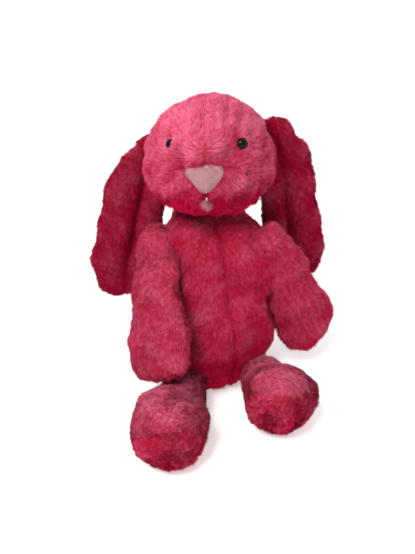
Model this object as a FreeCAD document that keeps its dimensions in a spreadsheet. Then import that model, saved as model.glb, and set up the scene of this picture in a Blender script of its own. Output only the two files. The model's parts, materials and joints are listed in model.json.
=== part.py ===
import FreeCAD, Part
import math
import os

import Sketcher
from FreeCAD import Placement, Rotation, Vector

# Seated plush rabbit with lop ears, millimetres, +Z up, face towards -Y.
# The origin is the centre of the flat seat, on the surface the toy sits on.
# "Right" and "left" are the rabbit's own sides: its right is -X.

DRIVING_SIZES = {
    "cover_thickness": 4.0,     # plush cloth: backing and pile together
    "seam_gap": 0.4,            # between two sewn panels
    "fill_gap": 0.3,            # between a cover and its stuffing
    "body_lean": 7.0,           # degrees the trunk leans back
    "body_twist": 22.0,         # degrees the trunk's seams are turned
    "torso_height": 157.0,
    "torso_radius": 55.0,
    "head_width": 106.0,
    "head_depth": 90.0,
    "head_height": 96.0,
    "head_raise": 206.0,        # centre of the head above the seat
    "head_back": 21.0,
    "head_side": 4.5,
    "head_pitch": 16.0,         # degrees the face looks up
    "head_yaw": 5.0,            # degrees the face looks to its right
    "gusset_width": 34.0,       # strip over the top of the head
    "arm_length": 103.0,        # shoulder to middle of the hand
    "arm_width": 59.0,
    "shoulder_height": 137.0,
    "shoulder_span": 95.0,
    "leg_right_length": 59.5,   # hip to middle of the foot
    "leg_left_length": 34.0,    # pushed back under the trunk
    "foot_radius": 30.0,
    "ear_length": 141.0,
    "ear_width": 57.0,
    "eye_radius": 4.6,
    "nose_width": 32.0,
    "nose_height": 22.0,
    "thread_radius": 0.7,
    "tail_radius": 17.0,
    "bag_radius": 30.0,         # bean bag in the seat
    "foot_bag_radius": 17.0,    # bean bag in each foot
    "bag_cloth": 0.8,
}

doc = FreeCAD.newDocument("plush_rabbit")
sheet = doc.addObject("Spreadsheet::Sheet", "sizes")
for row, (alias, value) in enumerate(DRIVING_SIZES.items(), start=1):
    sheet.set("A%d" % row, alias)
    sheet.set("B%d" % row, str(value))
    sheet.setAlias("B%d" % row, alias)
doc.recompute()

SEWN_PARTS = []


def size(alias):
    """A driving size read back from the sheet."""
    return float(getattr(sheet, alias))


def part_node(obj, label, placement=None):
    """Names a finished sub-part and puts it where it sits in the toy."""
    obj.Label = label
    if placement is not None:
        obj.Placement = placement
    SEWN_PARTS.append(obj)
    return obj


# ---------------------------------------------------------------- helpers


def oval(name, height, half_width, half_depth, shift="0"):
    """One horizontal oval; all four arguments are sheet expressions."""
    ring = doc.addObject("Part::Ellipse", name)
    ring.setExpression("MajorRadius", half_width)
    ring.setExpression("MinorRadius", half_depth)
    ring.setExpression("Placement.Base.y", shift)
    ring.setExpression("Placement.Base.z", height)
    return ring


def soft_solid(name, rings):
    """A smooth solid through a stack of ovals, as stuffed cloth takes."""
    loft = doc.addObject("Part::Loft", name)
    loft.Sections = [oval("%s_ring_%d" % (name, i), *ring) for i, ring in enumerate(rings)]
    loft.Solid = True
    loft.Ruled = False
    return loft


def cut(name, base, tool):
    result = doc.addObject("Part::Cut", name)
    result.Base = base
    result.Tool = tool
    result.Refine = False
    return result


def common(name, base, tool):
    result = doc.addObject("Part::Common", name)
    result.Base = base
    result.Tool = tool
    result.Refine = False
    return result


BIG = 400.0     # side of the boxes that divide a cover, larger than any cover


def half_space(name, corner, turn=0.0):
    """A big box whose lowest corner is given, turned about the Z axis."""
    box = doc.addObject("Part::Box", name)
    box.Length = BIG
    box.Width = BIG
    box.Height = BIG
    swing = Rotation(Vector(0, 0, 1), turn)
    box.Placement = Placement(swing.multVec(Vector(*corner)), swing)
    return box


def origin_plane(body, role):
    for feature in body.Origin.OriginFeatures:
        if feature.Role == role:
            return feature
    raise ValueError(role)


def flat_sketch(body, name, role="XZ_Plane"):
    sketch = body.newObject("Sketcher::SketchObject", name)
    sketch.AttachmentSupport = [(origin_plane(body, role), "")]
    sketch.MapMode = "FlatFace"
    return sketch


def closed_outline(sketch, points):
    """Straight lines joined corner to corner."""
    count = len(points)
    for i in range(count):
        start = Vector(points[i][0], points[i][1], 0)
        end = Vector(points[(i + 1) % count][0], points[(i + 1) % count][1], 0)
        sketch.addGeometry(Part.LineSegment(start, end), False)
    for i in range(count):
        sketch.addConstraint(Sketcher.Constraint("Coincident", i, 2, (i + 1) % count, 1))


def revolved(name, points):
    """A PartDesign body turned from a half profile given as (radius, height)."""
    body = doc.addObject("PartDesign::Body", name)
    sketch = flat_sketch(body, name + "_profile")
    closed_outline(sketch, points)
    turned = body.newObject("PartDesign::Revolution", name + "_turned")
    turned.Profile = sketch
    turned.ReferenceAxis = (sketch, ["V_Axis"])
    turned.Angle = 360.0
    return body


def arc_points(radius, rise, start, end, steps, flat=1.0):
    """Points on an arc of a circle about (0, rise), angles in degrees up from level."""
    points = []
    for i in range(steps + 1):
        angle = math.radians(start + (end - start) * i / steps)
        points.append((radius * math.cos(angle), rise + radius * flat * math.sin(angle)))
    return points


def aimed(root, direction, width_direction):
    """Placement with local Z along a limb and local X across its width."""
    along = Vector(*direction)
    along.normalize()
    across = Vector(*width_direction)
    across = across - along * across.dot(along)
    across.normalize()
    return Placement(root, Rotation(across, along.cross(across), along, "ZXY"))


# ---------------------------------------------------------------- trunk

# Height and radius of each ring, as fractions of the trunk's height and radius.
TRUNK_RINGS = (
    (0.0, 0.38), (0.025, 0.545), (0.076, 0.69), (0.18, 0.864), (0.33, 1.0), (0.484, 0.9),
    (0.637, 0.745), (0.764, 0.62), (0.88, 0.527), (0.943, 0.436), (0.98, 0.31), (1.0, 0.165),
)
LEAN_RATE = "tan(sizes.body_lean)"


def trunk_rings(inset):
    rings = []
    for level, girth in TRUNK_RINGS:
        height = "(%s) + %g * (sizes.torso_height - 2 * (%s))" % (inset, level, inset)
        radius = "sizes.torso_radius * %g - (%s)" % (girth, inset)
        rings.append((height, radius, radius, "(%s) * %s" % (height, LEAN_RATE)))
    return rings


COVER = "sizes.cover_thickness"
FILL = "sizes.cover_thickness + sizes.fill_gap"

trunk_outer = soft_solid("trunk_outer", trunk_rings("0"))
trunk_cavity = soft_solid("trunk_cavity", trunk_rings(COVER))
trunk_fill = soft_solid("trunk_fill", trunk_rings(FILL))
trunk_cover = cut("trunk_cover", trunk_outer, trunk_cavity)

half_gap = size("seam_gap") / 2
twist = size("body_twist")
side_corner = {"left": half_gap, "right": -BIG - half_gap}
face_corner = {"front": -BIG - half_gap, "back": half_gap}
for face, y_corner in face_corner.items():
    for side, x_corner in side_corner.items():
        label = "torso_%s_%s_panel" % (face, side)
        sector = half_space(label + "_sector", (x_corner, y_corner, -BIG / 2), twist)
        part_node(common(label + "_cloth", trunk_cover, sector), label)

# Bean bag low in the trunk: a squashed ball of pellets in a thin cloth.
BAG_SQUASH = 0.55
bag_rise = size("cover_thickness") + size("bag_radius") * BAG_SQUASH + 3.0


def squashed_ball(radius):
    return arc_points(radius, bag_rise, -90, 90, 16, BAG_SQUASH)


bag_radius = size("bag_radius")
bag_cloth = size("bag_cloth")
bag_shape = revolved("seat_bag_shape", squashed_ball(bag_radius))
bag_inside = revolved("seat_bag_inside", squashed_ball(bag_radius - bag_cloth))
bag_room = revolved("seat_bag_room", squashed_ball(bag_radius + size("fill_gap")))
pellets = revolved("seat_pellets_body", squashed_ball(bag_radius - bag_cloth - size("fill_gap")))
part_node(cut("torso_stuffing_fill", trunk_fill, bag_room), "torso_stuffing")
part_node(cut("seat_bag_cloth", bag_shape, bag_inside), "seat_pellet_bag")
part_node(pellets, "seat_pellets")

# Round tail on the low back: a gathered cup of plush, open towards the trunk.
tail_radius = size("tail_radius")
tail_inner = tail_radius - size("cover_thickness")
TAIL_OPEN = -38.0       # degrees below level where the cup's rim is
tail_cup = arc_points(tail_radius, 0.0, TAIL_OPEN, 90, 12)
tail_cup += reversed(arc_points(tail_inner, 0.0, TAIL_OPEN, 90, 12))
tail_ball = arc_points(tail_inner - size("fill_gap"), 0.0, TAIL_OPEN, 90, 12)
tail_ball.append((0.0, tail_ball[0][1]))
TAIL_HEIGHT = 30.0
TAIL_DROOP = 20.0       # degrees the tail points below level
TAIL_SINK = 2.6         # the trunk is this much slimmer at the tail than at its widest
tail_reach = size("torso_radius") + tail_radius * math.cos(math.radians(TAIL_OPEN)) - TAIL_SINK
back = Rotation(Vector(0, 0, 1), twist)
tail_place = Placement(back.multVec(Vector(0, tail_reach, TAIL_HEIGHT)), back)
tail_place = tail_place * Placement(Vector(0, 0, 0), Rotation(Vector(1, 0, 0), -90.0 - TAIL_DROOP))
part_node(revolved("tail_cover_body", tail_cup), "tail_cover", tail_place)
part_node(revolved("tail_stuffing_body", tail_ball), "tail_stuffing", tail_place)

# Ring of strong thread that gathers the neck.
NECK_RADIUS = 6.0
NECK_RISE = 1.6         # above the top of the trunk
NECK_THREAD_SHARE = 0.7     # of the mouth thread's thickness
neck_ring = doc.addObject("Part::Torus", "neck_thread")
neck_ring.Radius1 = NECK_RADIUS
neck_ring.setExpression("Radius2", "sizes.thread_radius * %g" % NECK_THREAD_SHARE)
lean = math.tan(math.radians(size("body_lean")))
neck_height = size("torso_height") + NECK_RISE
neck_tilt = Rotation(Vector(1, 0, 0), -size("body_lean"))
part_node(neck_ring, "neck_stitch", Placement(Vector(0, neck_height * lean, neck_height), neck_tilt))

# ---------------------------------------------------------------- head

# Height, half width, half depth and forward shift of each ring, as fractions of the
# head's half height, half width, half depth and half depth.
HEAD_RINGS = (
    (-0.98, 0.17, 0.178, 0.2), (-0.94, 0.377, 0.378, 0.2), (-0.833, 0.623, 0.622, 0.2),
    (-0.625, 0.849, 0.822, 0.178), (-0.333, 1.0, 0.956, 0.133), (0.0, 0.981, 1.0, 0.067),
    (0.333, 0.906, 0.978, 0.022), (0.625, 0.755, 0.844, 0.0), (0.833, 0.547, 0.622, 0.0),
    (0.958, 0.302, 0.333, 0.0), (1.0, 0.132, 0.142, 0.0),
)


def head_rings(inset):
    rings = []
    for level, wide, deep, forward in HEAD_RINGS:
        height = "%g * (sizes.head_height / 2 - (%s))" % (level, inset)
        half_width = "sizes.head_width / 2 * %g - (%s)" % (wide, inset)
        half_depth = "sizes.head_depth / 2 * %g - (%s)" % (deep, inset)
        shift = "-sizes.head_depth / 2 * %g" % forward
        rings.append((height, half_width, half_depth, shift))
    return rings


head_centre = Vector(size("head_side"), size("head_back"), size("head_raise"))
head_turned = Rotation(Vector(0, 0, 1), -size("head_yaw"))
head_tipped = Rotation(Vector(1, 0, 0), -size("head_pitch"))
head_place = Placement(head_centre, head_turned * head_tipped)

head_outer = soft_solid("head_outer", head_rings("0"))
head_cavity = soft_solid("head_cavity", head_rings(COVER))
head_fill = soft_solid("head_fill", head_rings(FILL))
head_cover = cut("head_cover", head_outer, head_cavity)


def head_front(x, z):
    """Y of the face's surface at a place on it, in the head's own frame."""
    doc.recompute()
    probe = Part.makeLine(Vector(x, -BIG, z), Vector(x, 0, z))
    return min(vertex.Y for vertex in head_outer.Shape.common(probe).Vertexes)


# Eyes: domed beads with a ribbed shank, each held by a washer inside the head.
EYE_ASIDE = 28.5
EYE_RISE = 10.0
EYE_TURN = 33.0         # degrees each eye faces outwards
EYE_TIP = 8.0           # degrees each eye faces up
SOCKET_DEPTH = 2.2
eye_radius = size("eye_radius")
shank_radius = eye_radius * 0.36
washer_radius = eye_radius * 1.25
shank_end = size("cover_thickness") + 4.0
washer_start = size("cover_thickness") + 1.4
WASHER_THICK = 1.2


def eye_place(side):
    """Frame with its origin on the face's surface and local Z pointing out of the eye."""
    x = EYE_ASIDE * side
    on_face = Vector(x, head_front(x, EYE_RISE), EYE_RISE)
    outward = Rotation(Vector(0, 0, 1), EYE_TURN * side) * Rotation(Vector(1, 0, 0), 90.0 - EYE_TIP)
    return Placement(on_face, outward)


def drum(name, radius, low, high, place):
    """A plain cylinder between two depths along an eye's axis."""
    cylinder = doc.addObject("Part::Cylinder", name)
    cylinder.Radius = radius
    cylinder.Height = high - low
    cylinder.Placement = place * Placement(Vector(0, 0, low), Rotation())
    return cylinder


head_core = head_fill
eye_openings = {}
for side_name, side in (("left", 1), ("right", -1)):
    place = eye_place(side)
    dome = arc_points(eye_radius, -SOCKET_DEPTH + 0.6, 0, 90, 10, 0.8)
    dome += [(0.0, -shank_end), (shank_radius * 0.7, -shank_end)]
    dome += [(shank_radius, -shank_end + 1.0), (shank_radius, -SOCKET_DEPTH)]
    dome += [(eye_radius, -SOCKET_DEPTH)]
    eye = revolved(side_name + "_eye_bead", dome)
    part_node(eye, side_name + "_eye", head_place * place)

    washer = doc.addObject("PartDesign::Body", side_name + "_washer_body")
    ring_sketch = flat_sketch(washer, side_name + "_washer_rings", "XY_Plane")
    for ring_radius in (shank_radius + 0.1, washer_radius):
        circle = Part.Circle(Vector(0, 0, 0), Vector(0, 0, 1), ring_radius)
        index = ring_sketch.addGeometry(circle, False)
        ring_sketch.addConstraint(Sketcher.Constraint("Radius", index, ring_radius))
    pad = washer.newObject("PartDesign::Pad", side_name + "_washer_pad")
    pad.Profile = ring_sketch
    pad.Length = WASHER_THICK
    washer_base = Placement(Vector(0, 0, -washer_start - WASHER_THICK), Rotation())
    part_node(washer, side_name + "_eye_washer", head_place * place * washer_base)

    socket = drum(side_name + "_socket", eye_radius + 0.4, -SOCKET_DEPTH - 0.2, 12.0, place)
    bore = drum(side_name + "_shank_bore", shank_radius + 0.15, -shank_end - 4.0, 1.0, place)
    hollow = drum(side_name + "_washer_room", washer_radius + 0.5, -shank_end - 1.0, -2.0, place)
    eye_openings[side_name] = [socket, bore]
    head_core = cut(side_name + "_washer_cut", head_core, hollow)

# Nose: a rounded three-cornered patch of short velour, let into the face.
NOSE_RISE = -5.0        # top edge of the nose above the middle of the head
NOSE_ASIDE = -1.0


def nose_block(name, grow):
    """The nose's outline, grown by a margin, carried through the front of the head."""
    half = size("nose_width") / 2 + grow
    top = NOSE_RISE + grow
    tip = NOSE_RISE - size("nose_height") - grow * 1.6
    shoulder = NOSE_RISE - size("nose_height") * 0.3
    body = doc.addObject("PartDesign::Body", name)
    sketch = flat_sketch(body, name + "_outline")
    outline = [
        (NOSE_ASIDE - half * 0.78, top), (NOSE_ASIDE + half * 0.78, top),
        (NOSE_ASIDE + half, shoulder), (NOSE_ASIDE + half * 0.22, tip),
        (NOSE_ASIDE - half * 0.22, tip), (NOSE_ASIDE - half, shoulder),
    ]
    closed_outline(sketch, outline)
    pad = body.newObject("PartDesign::Pad", name + "_pad")
    pad.Profile = sketch
    pad.Length = BIG / 4
    doc.recompute()
    if pad.Shape.BoundBox.YMax > 1.0:
        pad.Reversed = True
        doc.recompute()
    upright = [
        "Edge%d" % (i + 1)
        for i, edge in enumerate(pad.Shape.Edges)
        if abs(edge.tangentAt(edge.FirstParameter).y) > 0.99
    ]
    rounded = body.newObject("PartDesign::Fillet", name + "_corners")
    rounded.Base = (pad, upright)
    rounded.Radius = 2.0
    body.Tip = rounded
    return body


nose_patch = common("nose_cloth", head_cover, nose_block("nose_block", 0.0))
part_node(nose_patch, "nose_patch", head_place)
nose_room = nose_block("nose_room", size("seam_gap"))

# Mouth: one bar of thick thread laid down the chin seam, below the nose.
mouth_top = NOSE_RISE - size("nose_height") - 3.5
mouth_low = mouth_top - 7.0
thread = size("thread_radius")
mouth_stand = thread + 0.3      # thread's middle in front of the cover


def chin_point(z):
    return Vector(head_front(0, z) - mouth_stand, z, 0)


mouth = doc.addObject("PartDesign::Body", "mouth_thread")
mouth_path = flat_sketch(mouth, "mouth_path", "YZ_Plane")
mouth_start = chin_point(mouth_top)
mouth_path.addGeometry(Part.LineSegment(mouth_start, chin_point(mouth_low)), False)
mouth_ring = flat_sketch(mouth, "mouth_ring", "XY_Plane")
mouth_ring.AttachmentOffset = Placement(Vector(0, mouth_start.x, mouth_start.y), Rotation())
mouth_ring.addGeometry(Part.Circle(Vector(0, 0, 0), Vector(0, 0, 1), thread), False)
mouth_ring.addConstraint(Sketcher.Constraint("Radius", 0, thread))
mouth_ring.setExpression("Constraints[0]", "sizes.thread_radius")
mouth_pipe = mouth.newObject("PartDesign::AdditivePipe", "mouth_pipe")
mouth_pipe.Profile = mouth_ring
mouth_pipe.Spine = (mouth_path, ["Edge1"])
part_node(mouth, "mouth_stitch", head_place)

# The cover is two side panels and a gusset that runs from the nose over the top.
GUSSET_START = -9.0
half_gusset = size("gusset_width") / 2
gusset_strip = doc.addObject("Part::Box", "gusset_strip")
gusset_strip.setExpression("Length", "sizes.gusset_width")
gusset_strip.Width = BIG
gusset_strip.Height = BIG
gusset_strip.Placement = Placement(Vector(-half_gusset, -BIG / 2, GUSSET_START), Rotation())
gusset_space = cut("gusset_space", gusset_strip, nose_room)
part_node(common("head_gusset_cloth", head_cover, gusset_space), "head_gusset", head_place)


def side_block(name, side):
    """Everything on one side of the gusset, and of the chin seam below it."""
    gap = size("seam_gap")
    wall = half_gusset + gap
    step = GUSSET_START - gap
    corners = [(half_gap, -BIG / 2), (BIG / 2, -BIG / 2), (BIG / 2, BIG / 2)]
    corners += [(wall, BIG / 2), (wall, step), (half_gap, step)]
    body = doc.addObject("PartDesign::Body", name)
    sketch = flat_sketch(body, name + "_outline")
    closed_outline(sketch, [(side * x, z) for x, z in corners])
    pad = body.newObject("PartDesign::Pad", name + "_pad")
    pad.Profile = sketch
    pad.Length = BIG
    pad.Midplane = True
    return body


for side_name, side in (("left", 1), ("right", -1)):
    label = "head_%s_panel" % side_name
    space = side_block(label + "_block", side)
    for i, opening in enumerate([nose_room] + eye_openings[side_name]):
        space = cut("%s_space_%d" % (label, i), space, opening)
    part_node(common(label + "_cloth", head_cover, space), label, head_place)
part_node(head_core, "head_stuffing", head_place)

# ---------------------------------------------------------------- limbs

CAP_ANGLES = (12, 35, 65)       # degrees from the limb's axis, for a rounded end


def limb_rings(length, root_radius, end_radius, girths, flatness, inset):
    """Rings of a club-shaped limb with a round root and a rounder far end.

    girths are (fraction of the length, half width expression); flatness gives the
    thickness over the width at each fraction. The far end is a little blunt.
    """
    blunt = 0.9
    rings = []

    def ring(height, half_width, fraction, share):
        wide = "(%s) * %g - (%s) * %g" % (half_width, share, inset, share)
        thick = "(%s) * %g - (%s) * %g" % (half_width, share * flatness(fraction), inset, share)
        rings.append((height, wide, thick))

    for angle in CAP_ANGLES:
        drop = math.cos(math.radians(angle))
        height = "-((%s) - (%s)) * %g" % (root_radius, inset, drop)
        ring(height, root_radius, 0.0, math.sin(math.radians(angle)))
    for fraction, half_width in girths:
        ring("(%s) * %g" % (length, fraction), half_width, fraction, 1.0)
    for angle in reversed(CAP_ANGLES):
        rise = math.cos(math.radians(angle)) * blunt
        height = "(%s) + ((%s) - (%s)) * %g" % (length, end_radius, inset, rise)
        ring(height, end_radius, 1.0, math.sin(math.radians(angle)))
    return rings


# Arms: flattened clubs, each of a front and a back panel with stuffing between.
arm_half = "sizes.arm_width / 2"
ARM_ROOT = 0.43         # widths of the two ends, as shares of the widest
ARM_END = 0.982
ARM_GIRTHS = [
    (fraction, arm_half + " * %g" % share)
    for fraction, share in ((0, ARM_ROOT), (0.15, 0.58), (0.4, 0.74), (0.7, 0.89), (0.9, 1.0), (1, ARM_END))
]


def arm_flatness(fraction):
    return 0.65 - 0.2 * fraction


def arm_rings(inset):
    root = arm_half + " * %g" % ARM_ROOT
    end = arm_half + " * %g" % ARM_END
    return limb_rings("sizes.arm_length", root, end, ARM_GIRTHS, arm_flatness, inset)


def shoulder(side, forward, outward, lift):
    height = size("shoulder_height") + lift
    aside = size("shoulder_span") / 2 + outward
    return Vector(side * aside, height * lean - forward, height)


ARM_PLACES = {
    "right": aimed(shoulder(-1, 3.0, 0.0, 0.0), (4, -80, -68), (1, -0.9, 0)),
    "left": aimed(shoulder(1, 13.5, 5.0, 5.5), (33, 5, -95), (1, 0.5, 0)),
}
arm_outer = soft_solid("arm_outer", arm_rings("0"))
arm_cavity = soft_solid("arm_cavity", arm_rings(COVER))
arm_fill = soft_solid("arm_fill", arm_rings(FILL))
arm_cover = cut("arm_cover", arm_outer, arm_cavity)


def one_per_side(name, shape_source, label_form, places):
    """Puts the same sewn shape on both sides of the toy."""
    for side, place in places.items():
        copy = doc.addObject("Part::MultiCommon", "%s_%s" % (side, name))
        copy.Shapes = shape_source
        copy.Refine = False
        part_node(copy, label_form % side, place)


front_half = half_space("limb_front_half", (-BIG / 2, half_gap, -BIG / 2))
back_half = half_space("limb_back_half", (-BIG / 2, -BIG - half_gap, -BIG / 2))
whole = half_space("limb_whole", (-BIG / 2, -BIG / 2, -BIG / 2))


def facing_forward(place):
    """Whether a limb's local +Y side is its front, which faces -Y in the toy."""
    return place.Rotation.multVec(Vector(0, 1, 0)).y < 0


arm_faces_forward = facing_forward(ARM_PLACES["right"])
arm_front = front_half if arm_faces_forward else back_half
arm_back = back_half if arm_faces_forward else front_half
one_per_side("arm_front_cloth", [arm_cover, arm_front], "%s_arm_front_panel", ARM_PLACES)
one_per_side("arm_back_cloth", [arm_cover, arm_back], "%s_arm_back_panel", ARM_PLACES)
one_per_side("arm_fill_in", [arm_fill, whole], "%s_arm_stuffing", ARM_PLACES)

# Ears: long flat lobes of two cloth layers turned inside out, with no stuffing.
ear_half = "sizes.ear_width / 2"
EAR_ROOT = 0.38         # widths of the two ends, as shares of the widest
EAR_END = 0.852
EAR_GIRTHS = [
    (fraction, ear_half + " * %g" % share)
    for fraction, share in ((0, EAR_ROOT), (0.15, 0.68), (0.4, 0.94), (0.7, 1.0), (0.9, 0.963), (1, EAR_END))
]


def ear_flatness(fraction):
    return 0.28


ear_rings = limb_rings(
    "sizes.ear_length", ear_half + " * %g" % EAR_ROOT, ear_half + " * %g" % EAR_END,
    EAR_GIRTHS, ear_flatness, "0",
)
ear_shape = soft_solid("ear_shape", ear_rings)


def ear_root(x, y, z):
    return head_place.multVec(Vector(x, y, z))


EAR_PLACES = {
    "right": aimed(ear_root(-55, 18, 12), (-37, 6.5, -132), (1, 0.1, 0)),
    "left": aimed(ear_root(59.2, 17.8, 19), (19, 22, -145), (1, 0.12, 0)),
}
ear_faces_forward = facing_forward(EAR_PLACES["right"])
ear_front = front_half if ear_faces_forward else back_half
ear_back = back_half if ear_faces_forward else front_half
one_per_side("ear_front_cloth", [ear_shape, ear_front], "%s_ear_front_panel", EAR_PLACES)
one_per_side("ear_back_cloth", [ear_shape, ear_back], "%s_ear_back_panel", EAR_PLACES)

# Legs: short thighs that swell into ball feet, with a sole cap on each foot's front.
THIGH = 0.6             # radius at the hip, as a share of the foot's
LEG_GIRTHS = [
    (fraction, "sizes.foot_radius * %g" % share)
    for fraction, share in ((0, THIGH), (0.25, 0.66), (0.5, 0.80), (0.75, 0.94), (1, 1.0))
]
SOLE_START = 0.18       # where the sole seam lies past the foot's middle, in foot radii
LEG_PLACES = {
    "right": aimed(Vector(-26.5, -56, 20.5), (-10.5, -57.5, 10), (1, 0, 0)),
    "left": aimed(Vector(41.5, -48, 22.5), (10.5, -31, 8), (1, 0, 0)),
}


def round_limb(fraction):
    return 1.0


def leg_rings(side, inset):
    length = "sizes.leg_%s_length" % side
    root = "sizes.foot_radius * %g" % THIGH
    return limb_rings(length, root, "sizes.foot_radius", LEG_GIRTHS, round_limb, inset)


foot_bag = size("foot_bag_radius")
for side, place in LEG_PLACES.items():
    leg_outer = soft_solid(side + "_leg_outer", leg_rings(side, "0"))
    leg_cavity = soft_solid(side + "_leg_cavity", leg_rings(side, COVER))
    leg_fill = soft_solid(side + "_leg_fill", leg_rings(side, FILL))
    leg_cover = cut(side + "_leg_cover", leg_outer, leg_cavity)
    foot_middle = size("leg_%s_length" % side)
    sole_level = foot_middle + size("foot_radius") * SOLE_START
    sole_space = half_space(side + "_sole_space", (-BIG / 2, -BIG / 2, sole_level + half_gap))
    upper_space = half_space(side + "_upper_space", (-BIG / 2, -BIG / 2, sole_level - half_gap - BIG))
    part_node(common(side + "_sole_cloth", leg_cover, sole_space), side + "_sole_panel", place)
    leg_upper = common(side + "_leg_upper", leg_cover, upper_space)
    for edge in ("inner", "outer"):
        towards_left = (edge == "outer") == (side == "left")
        x_corner = half_gap if towards_left else -BIG - half_gap
        label = "%s_leg_%s_panel" % (side, edge)
        sector = half_space(label + "_sector", (x_corner, -BIG / 2, -BIG / 2))
        part_node(common(label + "_cloth", leg_upper, sector), label, place)

    def foot_ball(name, radius):
        return revolved(side + name, arc_points(radius, foot_middle, -90, 90, 16))

    room = foot_ball("_foot_bag_room", foot_bag + size("fill_gap"))
    bag_outside = foot_ball("_foot_bag_outside", foot_bag)
    bag_hollow = foot_ball("_foot_bag_hollow", foot_bag - bag_cloth)
    foot_pellets = foot_ball("_foot_pellets_body", foot_bag - bag_cloth - size("fill_gap"))
    part_node(cut(side + "_leg_fill_in", leg_fill, room), side + "_leg_stuffing", place)
    part_node(cut(side + "_foot_bag_cloth", bag_outside, bag_hollow), side + "_foot_pellet_bag", place)
    part_node(foot_pellets, side + "_foot_pellets", place)

# ---------------------------------------------------------------- checks and files

doc.recompute()
for obj in doc.Objects:
    if "Invalid" in obj.State or "Error" in obj.State:
        raise RuntimeError("%s did not compute: %s" % (obj.Name, obj.State))
for node in SEWN_PARTS:
    if node.Shape.isNull() or not node.Shape.isValid():
        raise RuntimeError("%s has no valid shape" % node.Label)
    if len(node.Shape.Solids) != 1:
        raise RuntimeError("%s has %d solids" % (node.Label, len(node.Shape.Solids)))

os.makedirs("parts", exist_ok=True)
for node in SEWN_PARTS:
    node.Shape.exportStep("parts/%s.step" % node.Label)
print("%d sub-parts written" % len(SEWN_PARTS))
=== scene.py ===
import json
import math

import bmesh
import bpy
import numpy as np
from mathutils import Matrix, Vector


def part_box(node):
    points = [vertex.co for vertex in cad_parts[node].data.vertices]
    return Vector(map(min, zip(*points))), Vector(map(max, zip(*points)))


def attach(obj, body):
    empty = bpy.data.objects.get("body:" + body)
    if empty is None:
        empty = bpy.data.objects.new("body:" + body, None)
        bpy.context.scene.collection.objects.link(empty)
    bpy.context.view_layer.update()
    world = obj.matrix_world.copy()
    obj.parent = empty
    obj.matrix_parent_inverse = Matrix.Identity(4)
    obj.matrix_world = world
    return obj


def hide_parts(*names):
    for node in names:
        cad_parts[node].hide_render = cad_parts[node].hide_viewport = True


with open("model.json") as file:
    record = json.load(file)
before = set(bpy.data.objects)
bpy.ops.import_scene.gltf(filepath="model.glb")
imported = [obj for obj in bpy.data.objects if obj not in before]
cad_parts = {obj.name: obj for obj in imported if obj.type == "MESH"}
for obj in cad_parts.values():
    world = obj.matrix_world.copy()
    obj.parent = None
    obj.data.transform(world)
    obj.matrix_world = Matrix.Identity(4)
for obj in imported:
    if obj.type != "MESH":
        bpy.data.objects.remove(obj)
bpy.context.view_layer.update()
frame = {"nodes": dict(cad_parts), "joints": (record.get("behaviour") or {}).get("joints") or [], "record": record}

# Plush lop-eared rabbit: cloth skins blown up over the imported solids, covered with pile.
# Metres, +Z up, face towards -Y. "Right" is the rabbit's own right, which is -X.

MM = 0.001

# The pose the rabbit is sewn in
HEAD_PITCH = math.radians(16)
HEAD_YAW = math.radians(5)
BODY_TWIST = math.radians(22)   # how far the trunk's front seam is turned to the rabbit's left
BODY_LEAN = math.tan(math.radians(7))

SIDES = ("right", "left")
HEAD_SIDE = {"right": 1, "left": -1}    # which way along X the head lies from a limb

# Cloth
CLOTH_INSET = 2.0 * MM          # how far a skin is drawn in under the CAD surface
FIT_SHARE = 0.6                 # share of that inset that is left after a skin is fitted to the CAD
FILL_DEPTH = 4.5 * MM           # how far the fibre fill is drawn in from the CAD's stuffing
SEAM_WIDTH = 2.4 * MM           # from the middle of a sewn groove to its shoulders
CLOTH_PRESSURE = 4.0
CLOTH_FRAMES = 20
CLOTH_QUALITY = 4

# Pile
PILE_DENSITY = 2.9              # strands per square millimetre
PILE_LENGTH = 4.6 * MM
STRANDS_PER_PIECE = 48000
STRAND_WIDTH = 0.5 * MM
STRAND_ROOT_DEPTH = 0.3 * MM    # how far a strand starts under the cloth
LOCK_SIZE = 2.4 * MM            # strands this close together lean into one lock
SHORT_PILE_DENSITY = 16.0       # for the nose and the mouth
SHORT_PILE_LOCK = 1.2 * MM
LOCK_SHARE = 0.65               # how much of the lie is the lock's own and not the strand's
LIE_WAVES = 26 * MM, 7 * MM     # wavelengths over which the lie of the pile drifts
LIE_RIPPLE = 0.7                # the short drift as a share of the long one
LEAN_WAVE = 9 * MM
LEAN_VARIES = 6, 7              # degrees, over that wavelength and from strand to strand
LEAN_LIMITS = 8, 82             # degrees from the surface's normal
LENGTH_VARIES = 0.78, 1.15
WIDTH_VARIES = 0.8, 1.2
SHADE_WAVES = 22 * MM, 5 * MM
SHADE_VARIES = 0.06, 0.07, 0.07     # over the long wave, from lock to lock and from strand to strand
SHADE_LIMITS = 0.02, 0.98
ROOT_LEVEL, TIP_LEVEL = 0.03, 0.97      # places of a strand's ends on its colour ramp
STRAND_ROUNDNESS = 0.55         # how much of its own roundness a strand is lit with

# Numbers that turn a grid cell into its own three random fractions
CELL_STEPS = 73856093, 19349663, 83492791
CELL_SEED_STEP = 7919
CELL_WAVES = 1.3, 2.7, 4.1
CELL_SPREAD = 9973.1

# ---------------------------------------------------------------- small geometry tools


def unit(vectors):
    length = np.linalg.norm(vectors, axis=-1, keepdims=True)
    return vectors / np.maximum(length, 1e-12)


def smooth_step(low, high, values):
    t = np.clip((values - low) / (high - low), 0.0, 1.0)
    return t * t * (3 - 2 * t)


def bump(points, centre, reach):
    """1 at the centre, falling off smoothly over reach."""
    distance = np.linalg.norm((points - centre) / np.asarray(reach), axis=-1)
    return np.exp(-distance ** 2)


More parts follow.
